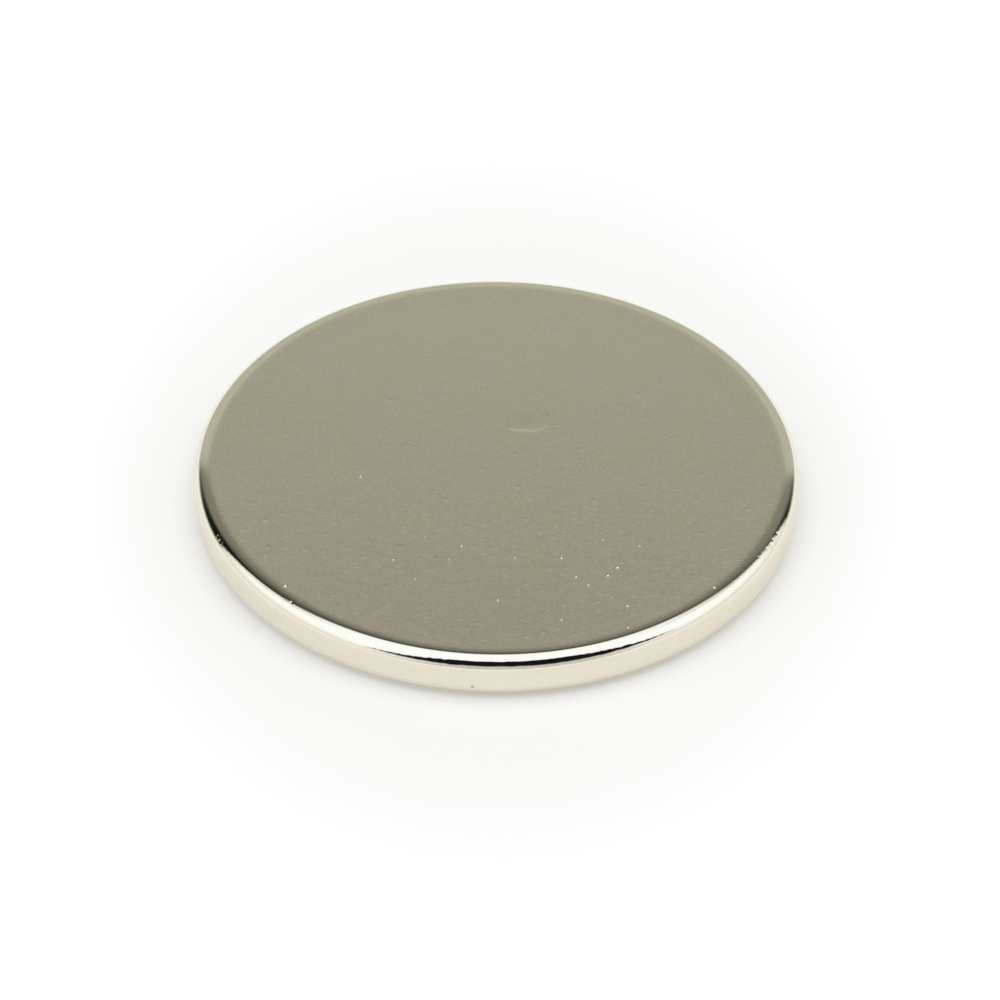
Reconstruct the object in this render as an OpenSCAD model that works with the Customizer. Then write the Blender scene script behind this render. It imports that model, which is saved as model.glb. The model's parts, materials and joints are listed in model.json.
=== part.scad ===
// Disc magnet: one flat, plated disc whose two pole faces turn into the rim
// through the same tumbled rounding.
// Sizes are in millimetres. The disc lies on its lower pole face with +Z up,
// and the origin is at the middle of that face.

/* [Disc] */
// Diameter over the rim
disc_d = 25; // [5:0.5:60]
// Thickness from pole face to pole face
disc_t = 2; // [1.5:0.1:20]

/* [Edge] */
// Radius of the rounding between each pole face and the rim
edge_r = 0.6; // [0.2:0.05:1]

/* [Hidden] */
// Least height of straight rim that stays between the two roundings
rim_land_min = 0.2;
// Radius of the disc, out to the straight rim
rim_r = disc_d / 2;
// The rounding as made, limited to what the thickness leaves for it
round_r = min(edge_r, (disc_t - rim_land_min) / 2);
// Radius of the flat part of each pole face
face_r = rim_r - round_r;
// Warm grey of polished nickel plating
nickel_grey = [0.80, 0.77, 0.70];
// Facets round a full turn of the preview mesh
$fn = 180;

// Half of the cross-section, from the axis out to the rim. The rounding is
// tangent to the face and to the rim, so neither shows a corner.
module half_section() {
    // Core that carries both pole faces
    square([face_r, disc_t]);
    // Band that carries the straight rim
    translate([0, round_r])
        square([rim_r, disc_t - 2 * round_r]);
    // Rounding under the upper face and over the lower one
    for (height = [round_r, disc_t - round_r])
        translate([face_r, height])
            circle(r = round_r);
}

// The whole magnet, turned from its half section
module magnet_disc() {
    color(nickel_grey)
        rotate_extrude()
            half_section();
}

magnet_disc();
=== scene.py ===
"""Looks of the disc magnet: its plated mesh, its small marks of handling, the studio and the camera.

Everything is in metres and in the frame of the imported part. The disc lies on z = 0 with its
middle over the origin, and the mesh made here stands for the CAD solid inside that solid's box.
"""

from __future__ import annotations

import json
import logging
import math
from dataclasses import dataclass, field
from enum import Enum
from typing import Union

import bpy
import numpy as np
from mathutils import Matrix, Vector
from mathutils.geometry import delaunay_2d_cdt


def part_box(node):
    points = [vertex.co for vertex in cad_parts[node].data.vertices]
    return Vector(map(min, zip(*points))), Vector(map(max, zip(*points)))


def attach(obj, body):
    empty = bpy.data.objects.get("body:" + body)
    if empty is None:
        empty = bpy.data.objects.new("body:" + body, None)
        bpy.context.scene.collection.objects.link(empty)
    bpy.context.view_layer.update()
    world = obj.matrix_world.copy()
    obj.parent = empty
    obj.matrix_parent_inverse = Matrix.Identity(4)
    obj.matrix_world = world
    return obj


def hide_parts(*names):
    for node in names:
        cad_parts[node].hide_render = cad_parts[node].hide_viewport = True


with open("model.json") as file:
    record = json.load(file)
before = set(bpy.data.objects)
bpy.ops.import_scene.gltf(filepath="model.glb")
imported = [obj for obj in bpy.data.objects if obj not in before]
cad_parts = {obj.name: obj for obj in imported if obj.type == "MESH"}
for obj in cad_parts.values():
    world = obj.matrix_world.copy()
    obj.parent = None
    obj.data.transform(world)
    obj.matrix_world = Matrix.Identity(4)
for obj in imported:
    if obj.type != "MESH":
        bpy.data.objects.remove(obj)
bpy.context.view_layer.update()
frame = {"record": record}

MM = 0.001
MICRON = 1e-6
NODE = "magnet_disc"
BODY = "root"
SLOT = "nickel_plating"

log = logging.getLogger("disc_magnet")

Colour = tuple[float, float, float]
Place = tuple[float, float, float]
Point = tuple[float, float]
Pair = tuple[float, float]
Socket = bpy.types.NodeSocket
Source = Union[Socket, float, tuple]


class Side(Enum):
    """The two pole faces, by the way each one looks."""

    UPPER = 1
    LOWER = -1


def eased(share: np.ndarray) -> np.ndarray:
    """Takes the corners off the start and the end of a share that runs from 0 to 1."""
    return share**2 * (3 - 2 * share)


def bowl(share: np.ndarray) -> np.ndarray:
    """Depth of a rounded bowl, from all of it in the middle, at 0, to none at the brim, at 1."""
    return (1.0 - share**2) ** 2


def turned_away(turn: np.ndarray, middle: float) -> np.ndarray:
    """Angles counted from a middle that is in degrees: in radians, half a turn at most."""
    return (turn - math.radians(middle) + math.pi) % (2 * math.pi) - math.pi


def share_past(turn: np.ndarray, middle: float, reach: float, fade: float) -> np.ndarray:
    """How far angles lie beyond a stretch of the edge.

    Args:
        turn: Angles round the disc, in radians.
        middle: Middle of the stretch, in degrees from +X.
        reach: Half of the stretch's width, in degrees.
        fade: Width of the change beyond it, in degrees.

    Returns:
        A share for each angle: 0 on the stretch, rising to 1 where the change is over.
    """
    away = np.degrees(np.abs(turned_away(turn, middle)))
    return np.clip((away - reach) / fade, 0.0, 1.0)


# --------------------------------------------------------------------------------------
# Sizes and marks
# --------------------------------------------------------------------------------------


@dataclass(frozen=True)
class DiscSizes:
    """The disc's driving sizes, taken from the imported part."""

    radius: float
    thickness: float
    edge: float

    @classmethod
    def from_frame(cls) -> DiscSizes:
        """Reads the sizes from the CAD node's box and from the rim mount.

        Returns:
            The radius, the thickness and the radius of the edge rounding, in metres.
        """
        low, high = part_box(NODE)
        thickness = high.z - low.z
        rim = next(m for m in frame["record"]["mounts"] if m["name"] == "rim")
        straight = rim["dims"]["length_mm"] * MM
        return cls((high.x - low.x) / 2, thickness, (thickness - straight) / 2)

    @property
    def face(self) -> float:
        """Radius of the flat part of a pole face."""
        return self.radius - self.edge


@dataclass(frozen=True)
class Pit:
    """A small round dimple in a pole face, placed in millimetres from the middle."""

    x: float
    y: float
    radius: float = 0.08
    depth: float = 0.03

    RINGS = (0.2, 0.4, 0.6, 0.8, 1.0, 1.15, 1.35, 1.6)
    SPOKES = 18

    def depth_at(self, x: np.ndarray, y: np.ndarray) -> np.ndarray:
        """Depth of the dimple under points of the face.

        Args:
            x: Places along X, in millimetres.
            y: Places along Y, in millimetres.

        Returns:
            The depth at each place, in millimetres, nothing outside the dimple.
        """
        share = np.clip(np.hypot(x - self.x, y - self.y) / self.radius, 0.0, 1.0)
        return self.depth * bowl(share)

    def points(self) -> list[Point]:
        """Mesh points that the dimple needs.

        Returns:
            Its middle and a few rings round it, in millimetres.
        """
        found = [(self.x, self.y)]
        for number, ring in enumerate(self.RINGS):
            for spoke in range(self.SPOKES):
                turn = 2 * math.pi * (spoke + number / 2) / self.SPOKES
                reach = ring * self.radius
                found.append((self.x + reach * math.cos(turn), self.y + reach * math.sin(turn)))
        return found


@dataclass(frozen=True)
class Scratch:
    """A faint rub mark in a pole face, from one end to the other, in millimetres.

    It falls away over a short width on its front side and rises gently on its back side.
    """

    start: Point
    end: Point
    bow: float = 0.05
    width: float = 0.13
    tail: float = 1.30
    depth: float = 0.0016

    STEPS = 24
    LANES = (-1.0, -0.75, -0.5, -0.25, 0.0)
    TAIL_LANES = (0.2, 0.45, 0.7, 1.0)

    def line(self, share: np.ndarray | float) -> np.ndarray | float:
        """Place along Y of the mark's deepest line, at shares of its length from 0 to 1."""
        (_, y0), (_, y1) = self.start, self.end
        return y0 + (y1 - y0) * share + 4 * self.bow * share * (1 - share)

    def depth_at(self, x: np.ndarray, y: np.ndarray) -> np.ndarray:
        """Depth of the mark under points of the face.

        Args:
            x: Places along X, in millimetres.
            y: Places along Y, in millimetres.

        Returns:
            The depth at each place, in millimetres, fading out at both ends.
        """
        share = np.clip((x - self.start[0]) / (self.end[0] - self.start[0]), 0.0, 1.0)
        across = y - self.line(share)
        reach = np.where(across < 0, self.width, self.tail)
        rest = 1.0 - np.clip(np.abs(across) / reach, 0.0, 1.0)
        return self.depth * eased(rest) * np.sin(math.pi * share) ** 0.5

    def points(self) -> list[Point]:
        """Mesh points that the mark needs.

        Returns:
            Points in lanes along it, in millimetres.
        """
        found = []
        for step in range(self.STEPS + 1):
            share = step / self.STEPS
            x = self.start[0] + (self.end[0] - self.start[0]) * share
            y = self.line(share)
            found += [(x, y + lane * self.width) for lane in self.LANES]
            found += [(x, y + lane * self.tail) for lane in self.TAIL_LANES]
        return found


@dataclass(frozen=True)
class Dint:
    """A shallow oval mark in a pole face, steep in front and gentle behind, in millimetres."""

    x: float
    y: float
    half_length: float
    half_width: float
    turn: float
    depth: float

    TAIL = 2.6
    RINGS = (0.35, 0.7, 1.0, 1.35)
    SPOKES = 10

    def depth_at(self, x: np.ndarray, y: np.ndarray) -> np.ndarray:
        """Depth of the mark under points of the face.

        Args:
            x: Places along X, in millimetres.
            y: Places along Y, in millimetres.

        Returns:
            The depth at each place, in millimetres, nothing outside the mark.
        """
        c, s = math.cos(self.turn), math.sin(self.turn)
        along = ((x - self.x) * c + (y - self.y) * s) / self.half_length
        across = ((y - self.y) * c - (x - self.x) * s) / self.half_width
        across = np.where(across > 0, across / self.TAIL, across)
        share = np.clip(np.hypot(along, across), 0.0, 1.0)
        return self.depth * bowl(share)

    def points(self) -> list[Point]:
        """Mesh points that the mark needs.

        Returns:
            Its middle and a few ovals round it, in millimetres.
        """
        c, s = math.cos(self.turn), math.sin(self.turn)
        found = [(self.x, self.y)]
        for number, ring in enumerate(self.RINGS):
            for spoke in range(self.SPOKES):
                a = 2 * math.pi * (spoke + number / 2) / self.SPOKES
                along = ring * self.half_length * math.cos(a)
                across = ring * self.half_width * math.sin(a) * (self.TAIL if a < math.pi else 1)
                found.append((self.x + along * c - across * s, self.y + along * s + across * c))
        return found


@dataclass(frozen=True)
class Handling:
    """Scatter of shallow oval marks over a face, thicker towards its front.

    rear_share is how thickly they lie at the rear against the front, and front_width how
    slowly that changes. spacing is the least gap between marks. Lengths are in millimetres.
    """

    count: int
    seed: int
    rear_share: float = 0.05
    reach: float = 11.2
    spacing: float = 0.38
    half_lengths: Pair = (0.03, 0.11)
    half_widths: Pair = (0.025, 0.040)
    depths: Pair = (0.0012, 0.0036)
    lean: float = 0.45
    front_width: float = 3.0

    def marks(self, others: tuple[Pit, ...]) -> list[Dint]:
        """Places the marks.

        Args:
            others: Larger dimples that the marks keep clear of.

        Returns:
            The marks, each at least the spacing away from every other one.
        """
        rng = np.random.default_rng(self.seed)
        taken = [(pit.x, pit.y) for pit in others]
        made = []
        while len(made) < self.count:
            x, y = rng.uniform(-self.reach, self.reach, 2)
            front = 0.5 - 0.5 * math.tanh(y / self.front_width)
            keep = rng.uniform() < self.rear_share + (1 - self.rear_share) * front
            length, width = rng.uniform(*self.half_lengths), rng.uniform(*self.half_widths)
            turn = rng.normal(0.0, self.lean)
            depth = math.exp(rng.uniform(*np.log(self.depths)))
            clear = all(math.hypot(x - u, y - v) > self.spacing for u, v in taken)
            if keep and clear and math.hypot(x, y) < self.reach:
                taken.append((x, y))
                made.append(Dint(x, y, length, width, turn, depth))
        return made


@dataclass(frozen=True)
class Nick:
    """A dent in the rounding or the rim: how far round, how far down the section, its size.

    around is in degrees from +X. down is in millimetres along the section from where the
    upper face starts to turn over.
    """

    around: float
    down: float
    radius: float
    depth: float


@dataclass(frozen=True)
class RollOff:
    """The slow turn with which a face starts to fall away before the rounding proper.

    start is how far inside the rounding it begins and end how far into it the drop is whole,
    both in millimetres along the section. slope is its steepest fall, where the rounding starts.
    dome is the slope that the face already has there from its own faint doming. The turn is
    whole round worn_middle, in degrees, up to worn_reach either side, and fades to calm.
    """

    start: float = 0.30
    end: float = 0.20
    slope: float = 0.148
    growth: float = 2.1
    dome: float = 0.0026
    worn_middle: float = -90.0
    worn_reach: float = 66.0
    worn_fade: float = 30.0
    calm: float = 0.5
    rings: tuple[float, ...] = (0.30, 0.25, 0.20, 0.15, 0.11, 0.07)

    def wear(self, turn: np.ndarray) -> np.ndarray:
        """Share of the whole roll-off that there is at angles round the disc, in radians."""
        past = share_past(turn, self.worn_middle, self.worn_reach, self.worn_fade)
        return 1.0 - (1.0 - self.calm) * eased(past)

    def depth_at(self, inward: np.ndarray, turn: np.ndarray, sizes: DiscSizes) -> np.ndarray:
        """Depth of the roll-off.

        Args:
            inward: Places along the section from where the rounding starts, in millimetres,
                negative on the face.
            turn: Angles of the places round the disc, in radians.
            sizes: Sizes of the disc.

        Returns:
            The depth at each place, in millimetres.
        """
        face, quarter = sizes.face / MM, math.pi / 2 * sizes.edge / MM
        domed = self.dome * face / 2 * np.clip(1 + inward / face, 0.0, 1.0) ** 2
        share = np.clip((inward + self.start) / self.start, 0.0, 1.0)
        before = self.slope * self.start / (self.growth + 1) * share ** (self.growth + 1)
        into = np.clip(inward / self.end, 0.0, 1.0)
        after = self.slope * self.end * (into - into**2 / 2)
        left = 1.0 - np.clip((inward - self.end) / (quarter - self.end), 0.0, 1.0)
        return (domed + self.wear(turn) * (before + after)) * left


FACE_PITS = (
    Pit(-8.6, -7.83, 0.11, 0.0369),
    Pit(5.43, -10.25, 0.07, 0.0216),
    Pit(8.95, -7.68, 0.08, 0.0279),
    Pit(-4.2, -6.1, 0.08, 0.0279),
    Pit(-3.3, -7.3, 0.07, 0.0216),
    Pit(-2.9, -4.6, 0.07, 0.0171),
    Pit(-1.9, -6.0, 0.08, 0.0216),
    Pit(-1.4, -5.2, 0.08, 0.0279),
    Pit(-5.6, -0.8, 0.1, 0.026),
    Pit(0.1, -8.6, 0.08, 0.0234),
    Pit(0.8, -5.9, 0.07, 0.0216),
    Pit(2.7, -5.9, 0.08, 0.0324),
    Pit(3.3, -7.1, 0.08, 0.0261),
    Pit(4.6, -7.0, 0.1, 0.0369),
    Pit(5.0, -6.5, 0.1, 0.0369),
    Pit(4.4, -4.7, 0.07, 0.0198),
    Pit(5.9, -5.1, 0.07, 0.0234),
    Pit(3.8, -7.6, 0.07, 0.0216),
    Pit(5.4, -8.9, 0.08, 0.0306),
    Pit(2.7, -9.8, 0.07, 0.0234),
)
FACE_SCRATCHES = (
    Scratch((0.40, 2.46), (1.80, 2.34), bow=-0.03, width=0.16, depth=0.0042),
    Scratch((1.45, 2.34), (2.10, 2.72), bow=-0.06, width=0.15, depth=0.0034),
)
FACE_HANDLING = Handling(120, seed=21)
UNDER_HANDLING = Handling(40, seed=8, rear_share=1.0)
UNDER_PITS = (
    Pit(-6.3, 3.1, 0.07, 0.022),
    Pit(2.2, 7.4, 0.06, 0.018),
    Pit(7.9, -2.6, 0.08, 0.028),
    Pit(-1.7, -5.8, 0.06, 0.02),
    Pit(4.1, 1.5, 0.07, 0.018),
)
RIM_NICKS = (
    Nick(-158.6, 0.43, 0.09, 0.008),
    Nick(-157.3, 0.47, 0.08, 0.010),
    Nick(-156.3, 0.38, 0.10, 0.008),
    Nick(-133.6, 0.22, 0.09, 0.007),
    Nick(-19.3, 0.40, 0.10, 0.007),
    Nick(-21.4, 0.34, 0.10, 0.008),
    Nick(-22.7, 0.42, 0.09, 0.009),
    Nick(-24.3, 0.36, 0.09, 0.008),
    Nick(-27.6, 0.24, 0.10, 0.007),
    Nick(-32.3, 0.12, 0.10, 0.006),
    Nick(-98.5, 0.57, 0.07, 0.008),
    Nick(-87.5, 0.50, 0.07, 0.008),
    Nick(-78.5, 0.55, 0.07, 0.008),
    Nick(-94.2, 1.71, 0.075, 0.045),
    Nick(-38.4, 1.24, 0.09, 0.016),
)


@dataclass(frozen=True)
class Scuff:
    """A rough patch of the upper rounding: its middle and half width in degrees, its strength."""

    around: float
    half_width: float
    strength: float


RIM_SCUFFS = (
    Scuff(-157.5, 1.8, 0.21),
    Scuff(-134.0, 3.0, 0.15),
    Scuff(-24.0, 5.0, 0.26),
    Scuff(-34.0, 6.0, 0.18),
)


# --------------------------------------------------------------------------------------
# The magnet's mesh
# --------------------------------------------------------------------------------------


@dataclass
class EdgeBand:
    """The turned band of the disc: both roundings, the straight rim and a strip of each face.

    Rows run from the upper face down to the lower one. Each row is one circle of points. The
    ripple is a faint waviness: ripple_slope is its usual slope, ripple_lengths are in
    millimetres, and it fades in over ripple_ends from ripple_from down the section. It is
    whole up to ripple_reach either side of ripple_middle, in degrees, and ripple_calm far off.
    """

    sizes: DiscSizes
    around: int = 1320
    upper_rows: int = 22
    lower_rows: int = 8
    rim_rows: int = 4
    strip: float = 0.04
    ripple_slope: float = 0.015
    ripple_lengths: Pair = (0.18, 0.55)
    ripple_from: float = 0.22
    ripple_waves: int = 60
    ripple_middle: float = -90.0
    ripple_reach: float = 26.0
    ripple_fade: float = 30.0
    ripple_calm: float = 0.3
    ripple_ends: float = 0.25
    nicks: tuple[Nick, ...] = RIM_NICKS
    roll: RollOff = RollOff()
    seed: int = 5

    NICK_SHARES = (-0.7, -0.1, 0.5)

    def turns(self) -> np.ndarray:
        """Angles of the band's columns, in radians."""
        return np.arange(self.around) * 2 * math.pi / self.around

    def section(self) -> np.ndarray:
        """The half section from the upper strip to the lower one.

        Returns:
            One line per row: radius, height, normal outwards, normal upwards, and length
            along the section from where the upper face starts to turn, in metres.
        """
        s = self.sizes
        inset = self.strip * MM
        rows = [(s.face - inset, s.thickness, 0.0, 1.0, -inset)]
        quarter = math.pi / 2
        for step in range(self.upper_rows + 1):
            a = quarter * step / self.upper_rows
            rows.append((s.face + s.edge * math.sin(a), s.thickness - s.edge * (1 - math.cos(a)),
                         math.sin(a), math.cos(a), s.edge * a))
        straight = s.thickness - 2 * s.edge
        drops = [straight * step / self.rim_rows for step in range(1, self.rim_rows)]
        drops += [drop for drop in self.nick_rows() if 0 < drop < straight]
        for drop in sorted(drops):
            rows.append((s.radius, s.thickness - s.edge - drop, 1.0, 0.0, s.edge * quarter + drop))
        lower = s.edge * quarter + straight
        angles = [quarter * step / self.lower_rows for step in range(self.lower_rows + 1)]
        angles += [(drop - straight) / s.edge for drop in self.nick_rows() if drop > straight]
        for a in sorted(angles):
            rows.append((s.face + s.edge * math.cos(a), s.edge * (1 - math.sin(a)),
                         math.cos(a), -math.sin(a), lower + s.edge * a))
        whole = lower + s.edge * quarter
        rows.append((s.face - inset, 0.0, 0.0, -1.0, whole + inset))
        return np.array(rows)

    def nick_rows(self) -> list[float]:
        """Rows that the nicks below the upper rounding need.

        Returns:
            Their places down from where the straight rim starts, in metres.
        """
        start = self.sizes.edge * math.pi / 2
        low = [nick for nick in self.nicks if nick.down * MM > start]
        return [(nick.down + share * nick.radius) * MM - start
                for nick in low for share in self.NICK_SHARES]

    def ripple_depth(self, turn: np.ndarray, along: np.ndarray) -> np.ndarray:
        """Depth of the faint waviness that tumbling leaves on the rounded parts.

        Args:
            turn: Angles round the disc, one column per point, in radians.
            along: Lengths along the section, one row per circle, in metres.

        Returns:
            A depth in metres for each row and column, never negative.
        """
        rng = np.random.default_rng(self.seed)
        share = self.ripple_slope * math.sqrt(2 / self.ripple_waves)
        rim = 2 * math.pi * self.sizes.radius
        wave = np.zeros((along.size, turn.size))
        for _ in range(self.ripple_waves):
            length = math.exp(rng.uniform(*np.log(self.ripple_lengths))) * MM
            heading, phase = rng.uniform(0, 2 * math.pi, 2)
            count = round(rim / length * math.cos(heading))
            run = 2 * math.pi / length * math.sin(heading) * along[:, None]
            wave += share * length / (2 * math.pi) * np.sin(count * turn + run + phase)
        past = share_past(turn, self.ripple_middle, self.ripple_reach, self.ripple_fade)
        wave = (wave - wave.min()) * (1 - (1 - self.ripple_calm) * past)
        length, ends = along[:, None], self.ripple_ends * MM
        start = np.clip((length - self.ripple_from * MM) / ends, 0, 1)
        return wave * start * np.clip((self.section_length() - length) / ends, 0, 1)

    def section_length(self) -> float:
        """Length of the section from one face, over both roundings, to the other face."""
        s = self.sizes
        return math.pi * s.edge + s.thickness - 2 * s.edge

    def roll_depth(self, turn: np.ndarray, along: np.ndarray) -> np.ndarray:
        """Depth of both faces' roll-off for angles and for lengths along the section."""
        inward = np.minimum(along, self.section_length() - along) / MM
        return self.roll.depth_at(inward[:, None], turn[None, :], self.sizes) * MM

    def nick_depth(self, turn: np.ndarray, along: np.ndarray) -> np.ndarray:
        """Depth of all the nicks.

        Args:
            turn: Angles round the disc, one column per point, in radians.
            along: Lengths along the section, one row per circle, in metres.

        Returns:
            A depth in metres for each row and column.
        """
        depth = np.zeros((along.size, turn.size))
        for nick in self.nicks:
            across = turned_away(turn, nick.around)[None, :] * self.sizes.radius
            down = along[:, None] - nick.down * MM
            share = np.clip(np.hypot(across, down) / (nick.radius * MM), 0.0, 1.0)
            depth = np.maximum(depth, nick.depth * MM * bowl(share))
        return depth

    def circles(self) -> np.ndarray:
        """All the band's points.

        Returns:
            An array of rows by columns by 3, in metres.
        """
        section = self.section()
        turn = self.turns()
        along = section[:, 4]
        depth = self.ripple_depth(turn, along) + self.nick_depth(turn, along)
        depth += self.roll_depth(turn, along)
        reach = section[:, 0, None] - depth * section[:, 2, None]
        height = section[:, 1, None] - depth * section[:, 3, None]
        return np.stack([reach * np.cos(turn), reach * np.sin(turn), height], axis=-1)

    @staticmethod
    def faces(rows: int, columns: int) -> list[list[int]]:
        """Four-sided faces between neighbouring circles.

        Args:
            rows: Number of circles.
            columns: Number of points on each circle.

        Returns:
            The numbers of each face's points, wound to face outwards.
        """
        made = []
        for row in range(rows - 1):
            for column in range(columns):
                here, there = row * columns + column, row * columns + (column + 1) % columns
                made.append([here, here + columns, there + columns, there])
        return made


@dataclass
class PoleFace:
    """The flat middle of one pole face, with its marks, filled in to the edge band.

    pitch is the spacing of its plain mesh points, whose rows lie ROW_SHARE of that apart. The
    waves are the slow unevenness that grinding leaves, which dies away over flat_rim. Lengths
    are in millimetres.
    """

    side: Side
    band: EdgeBand
    pits: tuple[Pit, ...]
    handling: Handling
    scratches: tuple[Scratch, ...] = ()
    pitch: float = 0.32
    waves: int = 14
    wave_lengths: Pair = (2.2, 6.0)
    wave_depth: float = 0.0016
    flat_rim: float = 0.9
    seed: int = 11
    marks: list[Pit | Scratch | Dint] = field(init=False)

    ROW_SHARE = 0.866
    BORDER_CLEAR = 0.4
    INSIDE_ONLY = 1
    MERGE = 1e-6

    def __post_init__(self) -> None:
        """Gathers every mark of the face."""
        self.marks = [*self.pits, *self.scratches, *self.handling.marks(self.pits)]

    def lattice(self, reach: float) -> list[Point]:
        """Points of a triangular lattice over the face.

        Args:
            reach: Radius that the lattice stays inside, in millimetres.

        Returns:
            The points, in millimetres.
        """
        found = []
        rows = int(reach / (self.pitch * self.ROW_SHARE)) + 1
        for row in range(-rows, rows + 1):
            y = row * self.pitch * self.ROW_SHARE
            shift = self.pitch / 2 * (row % 2)
            for column in range(-rows - 1, rows + 2):
                x = column * self.pitch + shift
                if math.hypot(x, y) < reach:
                    found.append((x, y))
        return found

    def waviness(self, points: np.ndarray, reach: float) -> np.ndarray:
        """Depth of the slow unevenness that grinding leaves.

        Args:
            points: Places on the face, in millimetres, one line of X and Y each.
            reach: Radius at which the unevenness has died away, in millimetres.

        Returns:
            The depth at each place, in millimetres, never negative.
        """
        rng = np.random.default_rng(self.seed + self.side.value)
        total = np.zeros(len(points))
        for _ in range(self.waves):
            length = rng.uniform(*self.wave_lengths)
            heading, phase = rng.uniform(0, 2 * math.pi, 2)
            across = points[:, 0] * math.cos(heading) + points[:, 1] * math.sin(heading)
            total += length * np.sin(2 * math.pi * across / length + phase)
        total /= self.waves * self.wave_lengths[1]
        share = np.clip((reach - np.hypot(points[:, 0], points[:, 1])) / self.flat_rim, 0.0, 1.0)
        return self.wave_depth * (1.0 + total) * eased(share)

    def rings(self) -> list[Point]:
        """Points on circles through the roll-off, in step with the band's columns.

        Returns:
            The points, in millimetres.
        """
        found = []
        for inset in self.band.roll.rings:
            reach = self.band.sizes.face / MM - inset
            for turn in self.band.turns():
                found.append((reach * math.cos(turn), reach * math.sin(turn)))
        return found

    def roll_depth(self, points: np.ndarray) -> np.ndarray:
        """Depth of the roll-off at points of the face.

        Args:
            points: Places on the face, in millimetres, one line of X and Y each.

        Returns:
            The depth at each place, in millimetres.
        """
        sizes = self.band.sizes
        inward = np.hypot(points[:, 0], points[:, 1]) - sizes.face / MM
        return self.band.roll.depth_at(inward, np.arctan2(points[:, 1], points[:, 0]), sizes)

    def depth_at(self, points: np.ndarray) -> np.ndarray:
        """Depth of every mark under points of the face.

        Args:
            points: Places on the face, in millimetres, one line of X and Y each.

        Returns:
            The depth at each place, in millimetres.
        """
        depth = np.zeros(len(points))
        for mark in self.marks:
            depth = np.maximum(depth, mark.depth_at(points[:, 0], points[:, 1]))
        return depth

    def fill(self, border: np.ndarray, first_new: int) -> tuple[np.ndarray, list[list[int]]]:
        """Triangulates the face inside the band's innermost circle.

        Args:
            border: The circle's points in metres, in order round the disc.
            first_new: Number that the first point added here gets in the whole mesh.

        Returns:
            The points added, in metres, and the triangles, whose numbers below the border's
            length stand for border points.
        """
        ring = [Vector((p[0] / MM, p[1] / MM)) for p in border]
        reach = self.band.sizes.face / MM - self.band.roll.start
        places = self.lattice(reach - self.BORDER_CLEAR * self.pitch) + self.rings()
        for mark in self.marks:
            places += mark.points()
        inner = [Vector(p) for p in places]
        found, _, triangles, origins, _, _ = delaunay_2d_cdt(
            ring + inner, [], [list(range(len(ring)))], self.INSIDE_ONLY, self.MERGE)
        numbers, added = [], []
        for spot, origin in zip(found, origins):
            on_border = [o for o in origin if o < len(ring)]
            if on_border:
                numbers.append(on_border[0])
            else:
                numbers.append(first_new + len(added))
                added.append((spot.x, spot.y))
        flat = np.array(added).reshape(-1, 2)
        sunk = (self.depth_at(flat) + self.waviness(flat, reach) + self.roll_depth(flat)) * MM
        top = self.band.sizes.thickness if self.side is Side.UPPER else 0.0
        height = np.full(len(flat), top) - self.side.value * sunk
        points = np.column_stack([flat * MM, height])
        faces = [[numbers[i] for i in t] for t in triangles]
        return points, faces


@dataclass
class Magnet:
    """The whole magnet: one closed mesh of the edge band and both pole faces."""

    sizes: DiscSizes
    finish: NickelPlating
    name: str = "disc_magnet"
    band: EdgeBand = field(init=False)

    def __post_init__(self) -> None:
        """Sets out the edge band from the disc's sizes."""
        self.band = EdgeBand(self.sizes)

    def build(self) -> bpy.types.Object:
        """Makes the mesh and its object.

        Returns:
            The new object, linked to the scene.
        """
        circles = self.band.circles()
        rows, columns = circles.shape[:2]
        around = circles.reshape(-1, 3)
        points, faces = [around], self.band.faces(rows, columns)
        count = len(around)
        ends = (
            (PoleFace(Side.UPPER, self.band, FACE_PITS, FACE_HANDLING, FACE_SCRATCHES), 0),
            (PoleFace(Side.LOWER, self.band, UNDER_PITS, UNDER_HANDLING), (rows - 1) * columns),
        )
        for face, first in ends:
            added, triangles = face.fill(around[first:first + columns], columns)
            for triangle in triangles:
                numbers = [first + n if n < columns else count + n - columns for n in triangle]
                faces.append(numbers if face.side is Side.UPPER else numbers[::-1])
            points.append(added)
            count += len(added)
        mesh = bpy.data.meshes.new(self.name)
        mesh.from_pydata(np.vstack(points).tolist(), [], faces)
        mesh.validate()
        mesh.shade_smooth()
        mesh.update()
        body = bpy.data.objects.new(self.name, mesh)
        bpy.context.scene.collection.objects.link(body)
        return body

    def dress(self, body: bpy.types.Object) -> None:
        """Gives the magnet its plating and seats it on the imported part.

        Args:
            body: The magnet's object.
        """
        body.data.materials.append(self.finish.material(self.sizes))
        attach(body, BODY)
        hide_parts(NODE)


# --------------------------------------------------------------------------------------
# Shader nodes
# --------------------------------------------------------------------------------------


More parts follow.
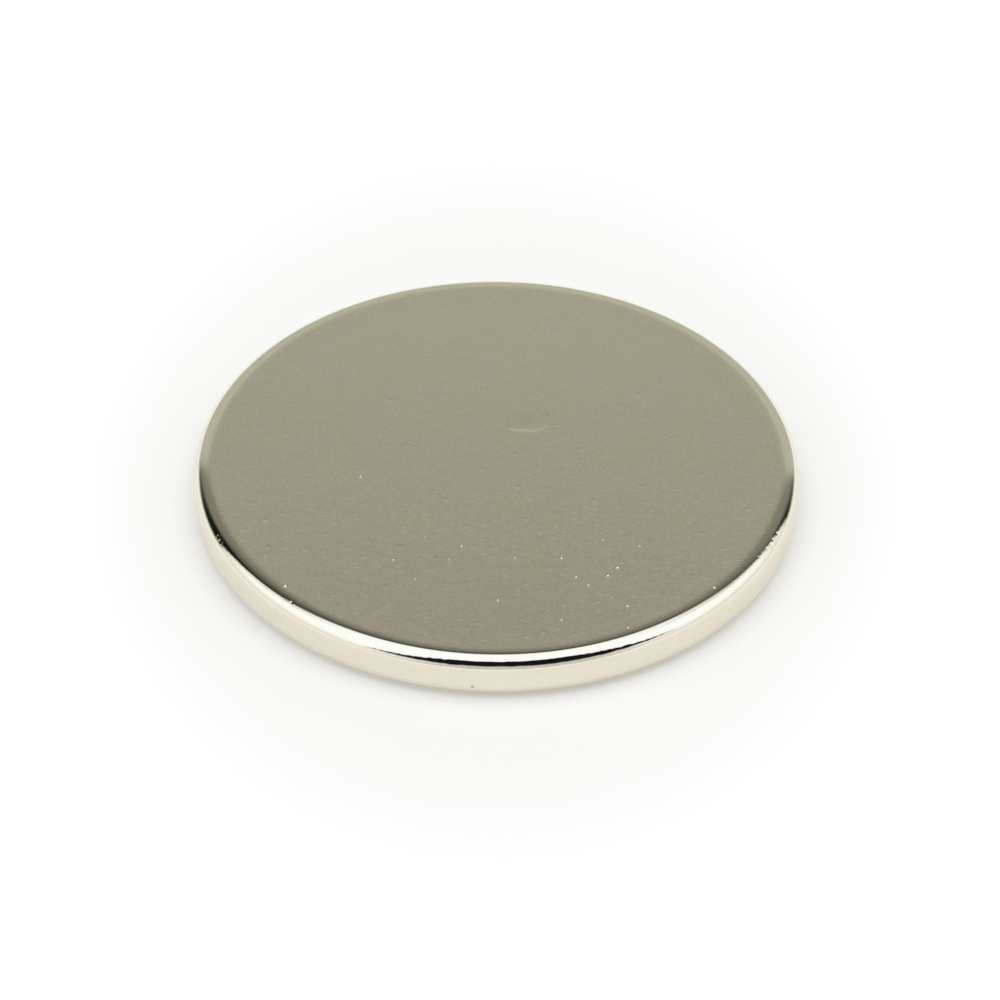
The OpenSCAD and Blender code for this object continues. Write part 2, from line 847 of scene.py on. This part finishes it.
class Weaver:
    """Short ways to add and join shader nodes in one node tree."""

    def __init__(self, tree: bpy.types.NodeTree) -> None:
        """Starts on an emptied node tree."""
        self.tree = tree
        tree.nodes.clear()

    def add(self, kind: str, **settings: object) -> bpy.types.Node:
        """Adds a node.

        Args:
            kind: Blender's name for the node's type.
            settings: Properties to set on it.

        Returns:
            The new node.
        """
        node = self.tree.nodes.new(kind)
        for name, value in settings.items():
            setattr(node, name, value)
        return node

    def join(self, source: Source, target: Socket) -> None:
        """Feeds a socket.

        Args:
            source: Another socket, or a plain value to set.
            target: The socket to feed.
        """
        if isinstance(source, Socket):
            self.tree.links.new(source, target)
        else:
            target.default_value = source

    def math(self, operation: str, *values: Source) -> Socket:
        """Adds a Math node.

        Args:
            operation: Blender's name for what it does.
            values: Sockets or numbers that it reads.

        Returns:
            The socket with the result.
        """
        node = self.add("ShaderNodeMath", operation=operation)
        for place, value in enumerate(values):
            self.join(value, node.inputs[place])
        return node.outputs[0]

    def vector(self, operation: str, *values: Source, out: str = "Vector") -> Socket:
        """Adds a Vector Math node.

        Args:
            operation: Blender's name for what it does.
            values: Sockets or triples that it reads.
            out: Name of the output wanted.

        Returns:
            The socket with the result.
        """
        node = self.add("ShaderNodeVectorMath", operation=operation)
        for place, value in enumerate(values):
            self.join(value, node.inputs[place])
        return node.outputs[out]

    def ramp(self, value: Source, start: float, end: float, low: float = 0.0,
             high: float = 1.0) -> Socket:
        """Turns a value smoothly from one level to another.

        Args:
            value: Socket or number to read.
            start: Value at which the turn starts.
            end: Value at which the turn ends, above or below the start.
            low: Level before the start.
            high: Level after the end.

        Returns:
            The socket that holds the level.
        """
        node = self.add("ShaderNodeMapRange", interpolation_type="SMOOTHSTEP")
        ends = (end, start, high, low) if start > end else (start, end, low, high)
        for place, number in enumerate(ends):
            node.inputs[place + 1].default_value = number
        self.join(value, node.inputs[0])
        return node.outputs[0]

    def angle(self, cosine: Source) -> Socket:
        """Angle in degrees that has a cosine."""
        turned = self.math("ARCCOSINE", self.math("MINIMUM", cosine, 1.0))
        return self.math("DEGREES", turned)

    def product(self, *values: Source) -> Socket:
        """Multiplies numbers together.

        Args:
            values: Two or more sockets or numbers.

        Returns:
            The socket with the result.
        """
        result = values[0]
        for value in values[1:]:
            result = self.math("MULTIPLY", result, value)
        return result

    def steps(self, value: Source, stops: tuple[Pair, ...]) -> Socket:
        """Reads a level off a row of stops, easing from one to the next.

        Args:
            value: Socket or number to read.
            stops: Pairs of a value and the level there, in rising order of value.

        Returns:
            The socket that holds the level.
        """
        node = self.add("ShaderNodeFloatCurve")
        curve = node.mapping.curves[0]
        last = stops[-1][0]
        for stop, level in stops[1:-1]:
            curve.points.new(stop / last, level)
        curve.points[0].location = (0.0, stops[0][1])
        curve.points[-1].location = (1.0, stops[-1][1])
        for point in curve.points:
            point.handle_type = "AUTO"
        node.mapping.update()
        self.join(self.math("DIVIDE", value, last), node.inputs["Value"])
        return node.outputs[0]

    def blend(self, share: Source, first: Source, second: Source) -> Socket:
        """Mixes two numbers.

        Args:
            share: How much of the second to take, from 0 to 1.
            first: The first number.
            second: The second number.

        Returns:
            The socket with the result.
        """
        node = self.add("ShaderNodeMix", data_type="FLOAT")
        for socket, value in zip((node.inputs[0], node.inputs[2], node.inputs[3]),
                                 (share, first, second)):
            self.join(value, socket)
        return node.outputs[0]

    def blend_colour(self, share: Source, first: Source, second: Source) -> Socket:
        """Mixes two colours.

        Args:
            share: How much of the second to take, from 0 to 1.
            first: The first colour.
            second: The second colour.

        Returns:
            The socket with the result.
        """
        node = self.add("ShaderNodeMix", data_type="RGBA", clamp_result=False)
        for socket, value in zip((node.inputs[0], node.inputs[6], node.inputs[7]),
                                 (share, first, second)):
            self.join((*value, 1.0) if isinstance(value, tuple) else value, socket)
        return node.outputs[2]

    def noise(self, where: Source, size: float, detail: float, roughness: float) -> Socket:
        """Adds a noise pattern.

        Args:
            where: Socket with the place, in metres.
            size: Width of its largest blotches, in metres.
            detail: Number of finer layers.
            roughness: Strength of the finer layers.

        Returns:
            A socket with values round 0.5.
        """
        node = self.add("ShaderNodeTexNoise")
        self.join(where, node.inputs["Vector"])
        node.inputs["Scale"].default_value = 1.0 / size
        node.inputs["Detail"].default_value = detail
        node.inputs["Roughness"].default_value = roughness
        return node.outputs["Fac"]

    def dots(self, where: Source, spacing: float) -> bpy.types.Node:
        """Adds a pattern of scattered cells.

        Args:
            where: Socket with the place, in metres.
            spacing: Usual width of a cell, in metres.

        Returns:
            The pattern's node.
        """
        node = self.add("ShaderNodeTexVoronoi", feature="F1")
        node.inputs["Scale"].default_value = 1.0 / spacing
        self.join(where, node.inputs["Vector"])
        return node


# --------------------------------------------------------------------------------------
# The finish
# --------------------------------------------------------------------------------------


@dataclass(frozen=True)
class Skin:
    """What the plating's nodes share: the weaver, the place on the disc and where it is satin.

    satin is 1 on the faces and 0 on the edges.
    """

    weave: Weaver
    place: Socket
    satin: Socket
    sizes: DiscSizes

    def along(self, heading: Source) -> Socket:
        """Reach of the place in a direction, in metres."""
        return self.weave.vector("DOT_PRODUCT", self.place, heading, out="Value")

    def cloud(self, size: float, layers: Pair) -> Socket:
        """Noise at the place, with values round nothing."""
        return self.weave.math("SUBTRACT", self.weave.noise(self.place, size, *layers), 0.5)


@dataclass(frozen=True)
class NickelPlating:
    """Bright nickel over a ground disc: satin faces, and edges tumbled to a mirror.

    The face carries a fine grain, rubbed deeper in front, and painted glints: pale specks and
    dashes that stand in for light caught by tiny marks and thicken over glints_grow towards the
    front. The edges carry faint clouds, scuffed patches and painted shade in one pore low on the
    rim, whose place is in degrees from +X and in height. The layers of each noise are the number
    of its finer layers and their strength.
    """

    colour: Colour = (0.822, 0.780, 0.655)
    warm: Colour = (0.832, 0.775, 0.642)
    # Painted glint colour of the pale specks and dashes.
    painted_glint_colour: Colour = (1.0, 0.94, 0.80)
    face_roughness: float = 0.17
    rim_roughness: float = 0.06
    satin_ends: float = 0.04 * MM
    mirror_starts: float = -0.12 * MM
    mottle_size: float = 2.4 * MM
    mottle_layers: Pair = (3.0, 0.5)
    mottle_turn: Pair = (0.35, 0.65)
    grain_size: float = 0.13 * MM
    grain_layers: Pair = (1.5, 0.5)
    grain_depths: Pair = (0.13, 0.26)
    rub_reach: float = 8.0 * MM
    cloud_size: float = 0.45 * MM
    cloud_layers: Pair = (2.0, 0.6)
    cloud_depth: float = 0.07
    swell_size: float = 0.55 * MM
    swell_layers: Pair = (2.0, 0.4)
    swell_height: float = 1.2 * MICRON
    # Painted glints: spacing, share and size of the pale specks and dashes, and where they thicken
    # towards the front.
    speck_spacing: float = 0.36 * MM
    speck_share: float = 0.45
    speck_reach: float = 0.20
    dash_spacing: float = 0.17 * MM
    dash_shape: Place = (0.36, 1.0, 1.0)
    dash_share: float = 0.62
    dash_reach: float = 0.38
    dash_strength: float = 0.8
    glints_grow: Pair = (-2.5 * MM, 6.0 * MM)
    # Painted shade: the nickel darkened inside one pore low on the rim.
    pore_around: float = -94.2
    pore_height: float = 0.63 * MM
    pore_ends: Pair = (0.085 * MM, 0.045 * MM)
    pore_shade_colour: Colour = (0.42, 0.39, 0.31)
    scuff_size: float = 0.10 * MM
    scuff_height: float = 9 * MICRON
    scuff_shape: Pair = (0.15, 0.45)
    scuff_inner: Pair = (0.13 * MM, 0.25 * MM)
    scuff_drop: Pair = (0.54 * MM, 0.42 * MM)
    scuffs: tuple[Scuff, ...] = RIM_SCUFFS

    LEVEL = (1.0, 1.0, 0.0)
    SPOT_CORE = 0.4

    def material(self, sizes: DiscSizes) -> bpy.types.Material:
        """Makes the plating's material.

        Args:
            sizes: Sizes of the disc, which say where its faces end.

        Returns:
            The material.
        """
        made = bpy.data.materials.new(SLOT)
        made.use_nodes = True
        weave = Weaver(made.node_tree)
        place = weave.add("ShaderNodeTexCoord").outputs["Object"]
        reach = weave.vector("LENGTH", weave.vector("MULTIPLY", place, self.LEVEL), out="Value")
        satin = weave.ramp(reach, sizes.face + self.satin_ends, sizes.face + self.mirror_starts)
        skin = Skin(weave, place, satin, sizes)
        shader = weave.add("ShaderNodeBsdfPrincipled")
        shader.inputs["Metallic"].default_value = 1.0
        weave.join(self.with_pore_shade(skin, self.tone(skin)), shader.inputs["Base Color"])
        weave.join(weave.blend(satin, self.rim_roughness, self.face_roughness),
                   shader.inputs["Roughness"])
        weave.join(self.scuffed(skin, self.swell(skin)), shader.inputs["Normal"])
        out = weave.add("ShaderNodeOutputMaterial")
        weave.join(shader.outputs[0], out.inputs["Surface"])
        return made

    def tone(self, skin: Skin) -> Socket:
        """Colour of the nickel: faint warm mottling, a fine grain and painted glints, pale specks and
        dashes.

        Args:
            skin: What the nodes share.

        Returns:
            The socket with the colour.
        """
        weave, place, satin = skin.weave, skin.place, skin.satin
        mottled = weave.noise(place, self.mottle_size, *self.mottle_layers)
        mottle = weave.ramp(mottled, *self.mottle_turn)
        plain = weave.blend_colour(mottle, self.colour, self.warm)
        forward = skin.along((0.0, -1.0, 0.0))
        rubbed = weave.ramp(forward, -self.rub_reach, self.rub_reach, *self.grain_depths)
        grain = weave.product(skin.cloud(self.grain_size, self.grain_layers), satin, rubbed)
        polished = weave.math("SUBTRACT", 1.0, satin)
        cloud = skin.cloud(self.cloud_size, self.cloud_layers)
        clouds = weave.product(cloud, polished, self.cloud_depth)
        grained = weave.vector("SCALE", plain)
        weave.join(weave.math("ADD", weave.math("ADD", grain, clouds), 1.0),
                   grained.node.inputs["Scale"])
        # Painted glints: pale specks and dashes that stand in for light caught by tiny marks.
        cells = weave.dots(place, self.speck_spacing)
        specks = self.spots(weave, cells, self.speck_share, self.speck_reach)
        cells = weave.dots(weave.vector("MULTIPLY", place, self.dash_shape), self.dash_spacing)
        dashes = self.spots(weave, cells, self.dash_share, self.dash_reach)
        light = weave.math("MAXIMUM", specks, weave.math("MULTIPLY", dashes, self.dash_strength))
        front = weave.ramp(forward, *self.glints_grow)
        return weave.blend_colour(weave.product(light, front, satin), grained, self.painted_glint_colour)

    def spots(self, weave: Weaver, cells: bpy.types.Node, share: float, reach: float) -> Socket:
        """Picks some cells of a pattern and fades each one out round its middle.

        Args:
            weave: Node weaver of the material.
            cells: Node with the pattern.
            share: Share of the cells that are picked.
            reach: Size of a spot, as a share of the pattern's spacing.

        Returns:
            The socket with the spots' strength, from 0 to 1.
        """
        pick = weave.vector("DOT_PRODUCT", cells.outputs["Color"], (1.0, 0.0, 0.0), out="Value")
        core = weave.ramp(cells.outputs["Distance"], reach, self.SPOT_CORE * reach)
        return weave.math("MULTIPLY", weave.ramp(pick, 1.0 - share, 1.0), core)

    def with_pore_shade(self, skin: Skin, colour: Socket) -> Socket:
        """Paints shade inside the rim's pore: darkens the nickel there.

        Args:
            skin: What the nodes share.
            colour: Socket with the colour so far.

        Returns:
            The socket with the colour.
        """
        a, radius = math.radians(self.pore_around), skin.sizes.radius
        middle = (radius * math.cos(a), radius * math.sin(a), self.pore_height)
        away = skin.weave.vector("DISTANCE", skin.place, middle, out="Value")
        # Painted shade in the pore.
        inside = skin.weave.ramp(away, *self.pore_ends)
        return skin.weave.blend_colour(inside, colour, self.pore_shade_colour)

    def swell(self, skin: Skin) -> Socket:
        """Soft unevenness of the satin faces.

        Args:
            skin: What the nodes share.

        Returns:
            The socket with the bumped normal.
        """
        weave = skin.weave
        bump = weave.add("ShaderNodeBump")
        bump.inputs["Distance"].default_value = self.swell_height
        weave.join(skin.satin, bump.inputs["Strength"])
        height = weave.noise(skin.place, self.swell_size, *self.swell_layers)
        weave.join(height, bump.inputs["Height"])
        return bump.outputs[0]

    def scuffed(self, skin: Skin, under: Socket) -> Socket:
        """Roughens the upper rounding in patches, where the disc has knocked against others.

        Args:
            skin: What the nodes share.
            under: Socket with the normal bumped so far.

        Returns:
            The socket with the bumped normal.
        """
        weave, sizes = skin.weave, skin.sizes
        flat = weave.vector("NORMALIZE", weave.vector("MULTIPLY", skin.place, self.LEVEL))
        worn: Source = 0.0
        for scuff in self.scuffs:
            a = math.radians(scuff.around)
            facing = weave.vector("DOT_PRODUCT", flat, (math.cos(a), math.sin(a), 0.0), out="Value")
            edge = math.cos(math.radians(scuff.half_width))
            patch = weave.ramp(facing, edge, (1.0 + edge) / 2, 0.0, scuff.strength)
            worn = weave.math("MAXIMUM", worn, patch)
        near = weave.ramp(skin.along((0.0, 0.0, 1.0)),
                          *(sizes.thickness - drop for drop in self.scuff_drop))
        rim = weave.ramp(skin.along(flat), *(sizes.face + inner for inner in self.scuff_inner))
        bump = weave.add("ShaderNodeBump")
        bump.inputs["Distance"].default_value = self.scuff_height
        weave.join(weave.product(worn, near, rim), bump.inputs["Strength"])
        knocks = weave.dots(skin.place, self.scuff_size).outputs["Distance"]
        weave.join(weave.ramp(knocks, *self.scuff_shape), bump.inputs["Height"])
        weave.join(under, bump.inputs["Normal"])
        return bump.outputs[0]


# --------------------------------------------------------------------------------------
# Studio and camera
# --------------------------------------------------------------------------------------


@dataclass(frozen=True)
class Tent:
    """White cloth over the table: brightest high up and in front, and slightly blue there.

    Angles are in degrees. climbs_to is the height from which it is at its brightest. That
    holds once the direction has turned aside from the far end, from turn_from to turn_to,
    and for the roof in any direction.
    """

    low_level: float = 0.91
    high_level: float = 1.235
    low_colour: Colour = (1.0, 0.995, 0.96)
    high_colour: Colour = (0.955, 1.018, 1.13)
    climbs_to: float = 34.0
    turn_from: float = 54.0
    turn_to: float = 77.0
    roof_from: float = 54.0
    roof_to: float = 70.0


@dataclass(frozen=True)
class Board:
    """A black board upright in front of the table, narrower at its top, with a gap under it.

    Angles are in degrees. The azimuth is that of its middle, counted from -Y towards +X.
    """

    azimuth: float = 9.5
    half_width: float = 57.0
    lean: float = 0.65
    bottom: float = 24.0
    top: float = 63.8
    side_blur: float = 3.5
    bottom_blur: float = 5.5
    top_blur: float = 2.6
    colour: Colour = (0.0118, 0.0086, 0.0118)
    gap_half_width: float = 38.0
    gap_blur: float = 20.0
    gap_from: float = -14.0
    gap_to: float = -2.0
    gap_colour: Colour = (0.655, 0.69, 0.735)


@dataclass(frozen=True)
class FarEnd:
    """The open far end of the tent, bright low in its middle and dark towards its round edge.

    Angles are in degrees. The steps give its brightness by the angle off bright_azimuth, and
    lift widens them by that much once the direction has turned aside. side_level is what is
    left of it at the sides. Low down in them the table's far edge shows, at table_level.
    """

    azimuth: float = 185.4
    bright_azimuth: float = 179.3
    reach: float = 66.0
    narrowing: float = 1.2
    edge_blur: float = 2.5
    steps: tuple[Pair, ...] = ((0.0, 0.55), (15.0, 0.56), (25.0, 0.55), (30.0, 0.55),
                                (34.0, 0.555), (38.0, 0.53), (42.0, 0.262), (46.0, 0.24),
                                (50.0, 0.225), (55.0, 0.15), (62.0, 0.085))
    side_tint: Colour = (0.935, 1.0, 0.88)
    tint: Colour = (1.012, 1.0, 0.875)
    low_from: float = 38.0
    low_to: float = 24.0
    cool_from: float = 18.0
    cool_to: float = 35.0
    side_from: float = 33.0
    side_to: float = 51.0
    side_level: float = 0.11
    lift: float = 1.0
    lift_from: float = 4.0
    lift_to: float = 22.0
    table_level: float = 0.76
    table_rise: float = 8.0
    table_blur: float = 6.5
    table_from: float = 25.0
    table_to: float = 45.0


def heading(azimuth: float) -> Place:
    """Level direction at an azimuth in degrees from the front, as a unit vector."""
    a = math.radians(azimuth)
    return math.sin(a), -math.cos(a), 0.0


@dataclass(frozen=True)
class Gaze:
    """A direction away from the disc, in the world's nodes. rise is its height in degrees."""

    weave: Weaver
    view: Socket
    rise: Socket

    def along(self, way: Place) -> Socket:
        """Cosine of the angle between the direction and another."""
        return self.weave.vector("DOT_PRODUCT", self.view, way, out="Value")

    def turn(self, azimuth: float) -> Socket:
        """Sideways turn away from an azimuth.

        Args:
            azimuth: Azimuth that the turn is counted from, in degrees.

        Returns:
            The socket with the turn, from 0 to 180 degrees.
        """
        ahead, aside = self.along(heading(azimuth)), self.along(heading(azimuth + 90))
        signed = self.weave.math("DEGREES", self.weave.math("ARCTAN2", aside, ahead))
        return self.weave.math("ABSOLUTE", signed)


@dataclass(frozen=True)
class Surround:
    """What lights the magnet and what its plating reflects, by direction."""

    tent: Tent = Tent()
    board: Board = Board()
    far_end: FarEnd = FarEnd()

    def build(self) -> bpy.types.World:
        """Makes the world.

        Returns:
            The world, set on the scene.
        """
        world = bpy.data.worlds.new("tent")
        world.use_nodes = True
        weave = Weaver(world.node_tree)
        view = weave.vector("NORMALIZE", weave.add("ShaderNodeTexCoord").outputs["Generated"])
        up = weave.vector("DOT_PRODUCT", view, (0.0, 0.0, 1.0), out="Value")
        gaze = Gaze(weave, view, weave.math("DEGREES", weave.math("ARCSINE", up)))
        seen = self.with_far_end(gaze, self.with_board(gaze, self.cloth(gaze)))
        light = weave.add("ShaderNodeBackground")
        weave.join(seen, light.inputs["Color"])
        plain = weave.add("ShaderNodeBackground")
        plain.inputs["Color"].default_value = (1.0, 1.0, 1.0, 1.0)
        choice = weave.add("ShaderNodeMixShader")
        weave.join(weave.add("ShaderNodeLightPath").outputs["Is Camera Ray"], choice.inputs[0])
        weave.join(light.outputs[0], choice.inputs[1])
        weave.join(plain.outputs[0], choice.inputs[2])
        out = weave.add("ShaderNodeOutputWorld")
        weave.join(choice.outputs[0], out.inputs["Surface"])
        bpy.context.scene.world = world
        return world

    def cloth(self, gaze: Gaze) -> Socket:
        """Colour of the bare tent.

        Args:
            gaze: The direction looked in.

        Returns:
            The socket with the colour.
        """
        weave, t = gaze.weave, self.tent
        forward = weave.math("MAXIMUM",
                             weave.ramp(gaze.turn(self.far_end.azimuth), t.turn_from, t.turn_to),
                             weave.ramp(gaze.rise, t.roof_from, t.roof_to))
        share = weave.product(weave.ramp(gaze.rise, 0.0, t.climbs_to), forward)
        low = tuple(t.low_level * c for c in t.low_colour)
        high = tuple(t.high_level * c for c in t.high_colour)
        return weave.blend_colour(share, low, high)

    def with_board(self, gaze: Gaze, behind: Socket) -> Socket:
        """Puts the board and the gap under it before the cloth.

        Args:
            gaze: The direction looked in.
            behind: Socket with the colour so far.

        Returns:
            The socket with the colour.
        """
        weave, rise, b = gaze.weave, gaze.rise, self.board
        turn = gaze.turn(b.azimuth)
        drawn_in = weave.math("MULTIPLY", weave.math("SUBTRACT", rise, b.bottom), b.lean)
        spread = weave.math("ADD", turn, weave.math("MAXIMUM", drawn_in, 0.0))
        column = weave.product(
            weave.ramp(spread, b.half_width + b.side_blur, b.half_width - b.side_blur),
            weave.ramp(rise, b.top + b.top_blur, b.top - b.top_blur))
        above = weave.ramp(rise, b.bottom - b.bottom_blur, b.bottom + b.bottom_blur)
        gap = weave.product(
            weave.ramp(turn, b.gap_half_width + b.gap_blur, b.gap_half_width - b.gap_blur),
            weave.math("SUBTRACT", 1.0, above), weave.ramp(rise, b.gap_from, b.gap_to))
        seen = weave.blend_colour(gap, behind, b.gap_colour)
        return weave.blend_colour(weave.product(column, above), seen, b.colour)

    def with_far_end(self, gaze: Gaze, behind: Socket) -> Socket:
        """Opens the far end of the tent.

        Args:
            gaze: The direction looked in.
            behind: Socket with the colour so far.

        Returns:
            The socket with the colour.
        """
        weave, f = gaze.weave, self.far_end
        drawn = weave.vector("NORMALIZE", weave.vector("MULTIPLY", gaze.view, (f.narrowing, 1.0, 1.0)))
        off = weave.angle(weave.vector("DOT_PRODUCT", drawn, heading(f.azimuth), out="Value"))
        apart = weave.angle(gaze.along(heading(f.bright_azimuth)))
        turn = gaze.turn(f.bright_azimuth)
        widened = weave.math("SUBTRACT", apart, weave.ramp(turn, f.lift_from, f.lift_to, 0.0, f.lift))
        level = weave.product(weave.steps(widened, f.steps),
                              weave.ramp(turn, f.side_from, f.side_to, 1.0, f.side_level))
        low = weave.product(
            weave.ramp(gaze.rise, f.table_rise + f.table_blur, f.table_rise - f.table_blur),
            weave.ramp(turn, f.table_from, f.table_to))
        cool = weave.math("MAXIMUM", weave.ramp(apart, f.low_from, f.low_to),
                          weave.ramp(turn, f.cool_from, f.cool_to))
        tinted = weave.vector("SCALE", weave.blend_colour(cool, f.tint, f.side_tint))
        weave.join(weave.blend(low, level, f.table_level), tinted.node.inputs["Scale"])
        inside = weave.ramp(off, f.reach + f.edge_blur, f.reach - f.edge_blur)
        return weave.blend_colour(inside, behind, tinted)


@dataclass(frozen=True)
class Floor:
    """The pale table top that the disc lies on, with painted shade: darker round the disc, paler far
    off.
    """

    size: float = 4.0
    gap: float = 0.02 * MM
    # Painted shade: the table is darker round the disc out to near_ends, turning to far_colour by
    # far_starts; lengthening draws the shade out further in front and behind.
    painted_shade_colour: Colour = (0.852, 0.836, 0.796)
    far_colour: Colour = (0.96, 0.952, 0.928)
    near_ends: float = 11.0 * MM
    far_starts: float = 24.0 * MM
    lengthening: float = 0.72
    glow: float = 0.35
    glow_strength: float = 1.12

    def build(self) -> bpy.types.Object:
        """Makes the floor.

        Returns:
            The floor's object.
        """
        half = self.size / 2
        mesh = bpy.data.meshes.new("floor")
        corners = [(-half, -half, 0), (half, -half, 0), (half, half, 0), (-half, half, 0)]
        mesh.from_pydata(corners, [], [(0, 1, 2, 3)])
        mesh.update()
        floor = bpy.data.objects.new("floor", mesh)
        floor.location.z = -self.gap
        bpy.context.scene.collection.objects.link(floor)
        mesh.materials.append(self.material())
        return floor

    def material(self) -> bpy.types.Material:
        """Makes the floor's material, which can be looked through from below.

        Returns:
            The material.
        """
        made = bpy.data.materials.new("table_top")
        made.use_nodes = True
        weave = Weaver(made.node_tree)
        place = weave.add("ShaderNodeTexCoord").outputs["Object"]
        reach = weave.vector("LENGTH", weave.vector("MULTIPLY", place, (1.0, self.lengthening, 1.0)),
                             out="Value")
        # Painted shade: the table's colour darkens towards the disc.
        tone = weave.blend_colour(weave.ramp(reach, self.near_ends, self.far_starts),
                                  self.painted_shade_colour, self.far_colour)
        plain = weave.add("ShaderNodeBsdfDiffuse")
        weave.join(tone, plain.inputs["Color"])
        lit = weave.add("ShaderNodeEmission")
        weave.join(tone, lit.inputs["Color"])
        lit.inputs["Strength"].default_value = self.glow_strength
        top = weave.add("ShaderNodeMixShader")
        top.inputs[0].default_value = self.glow
        weave.join(plain.outputs[0], top.inputs[1])
        weave.join(lit.outputs[0], top.inputs[2])
        under = weave.add("ShaderNodeNewGeometry").outputs["Backfacing"]
        clear = weave.add("ShaderNodeBsdfTransparent")
        choice = weave.add("ShaderNodeMixShader")
        weave.join(under, choice.inputs[0])
        weave.join(top.outputs[0], choice.inputs[1])
        weave.join(clear.outputs[0], choice.inputs[2])
        out = weave.add("ShaderNodeOutputMaterial")
        weave.join(choice.outputs[0], out.inputs["Surface"])
        return made


@dataclass(frozen=True)
class TopLamp:
    """A wide soft lamp overhead that evens out the light on the table."""

    height: float = 0.8
    size: float = 1.0
    watts: float = 3.3

    def build(self) -> bpy.types.Object:
        """Makes the lamp, which the plating doesn't show.

        Returns:
            The lamp's object.
        """
        light = bpy.data.lights.new("top_lamp", "AREA")
        light.shape = "DISK"
        light.size = self.size
        light.energy = self.watts
        lamp = bpy.data.objects.new("top_lamp", light)
        lamp.location = (0.0, 0.0, self.height)
        lamp.visible_glossy = False
        bpy.context.scene.collection.objects.link(lamp)
        return lamp


@dataclass(frozen=True)
class ViewCamera:
    """The camera: a long lens that looks down on the disc from the front."""

    distance: float = 0.61146
    elevation: float = 39.95
    aim: Place = (0.00015, -0.00102, 0.001)
    lens: float = 531.6
    roll: float = 0.476
    clip: Pair = (0.01, 10.0)

    def build(self) -> bpy.types.Object:
        """Makes the camera.

        Returns:
            The camera's object, set on the scene.
        """
        rise = math.radians(self.elevation)
        place = Vector((0.0, -math.cos(rise), math.sin(rise))) * self.distance
        ahead = (Vector(self.aim) - place).normalized()
        right = ahead.cross(Vector((0.0, 0.0, 1.0))).normalized()
        turn = Matrix.Rotation(-math.radians(self.roll), 3, ahead)
        right = turn @ right
        up = right.cross(ahead)
        data = bpy.data.cameras.new("camera")
        data.lens = self.lens
        data.clip_start, data.clip_end = self.clip
        camera = bpy.data.objects.new("camera", data)
        axes = Matrix((right, up, -ahead)).transposed()
        camera.matrix_world = Matrix.Translation(place) @ axes.to_4x4()
        bpy.context.scene.collection.objects.link(camera)
        bpy.context.scene.camera = camera
        return camera


def main() -> None:
    """Builds the studio and the magnet, in order, and reports each piece."""
    logging.basicConfig(level=logging.INFO, format="%(name)s: %(message)s")
    bpy.context.scene.view_settings.view_transform = "Standard"
    ViewCamera().build()
    Surround().build()
    Floor().build()
    TopLamp().build()
    log.info("studio ready")
    magnet = Magnet(DiscSizes.from_frame(), NickelPlating())
    body = magnet.build()
    magnet.dress(body)
    log.info("%s: %d points, %d faces", body.name, len(body.data.vertices), len(body.data.polygons))


if __name__ == "__main__":
    main()
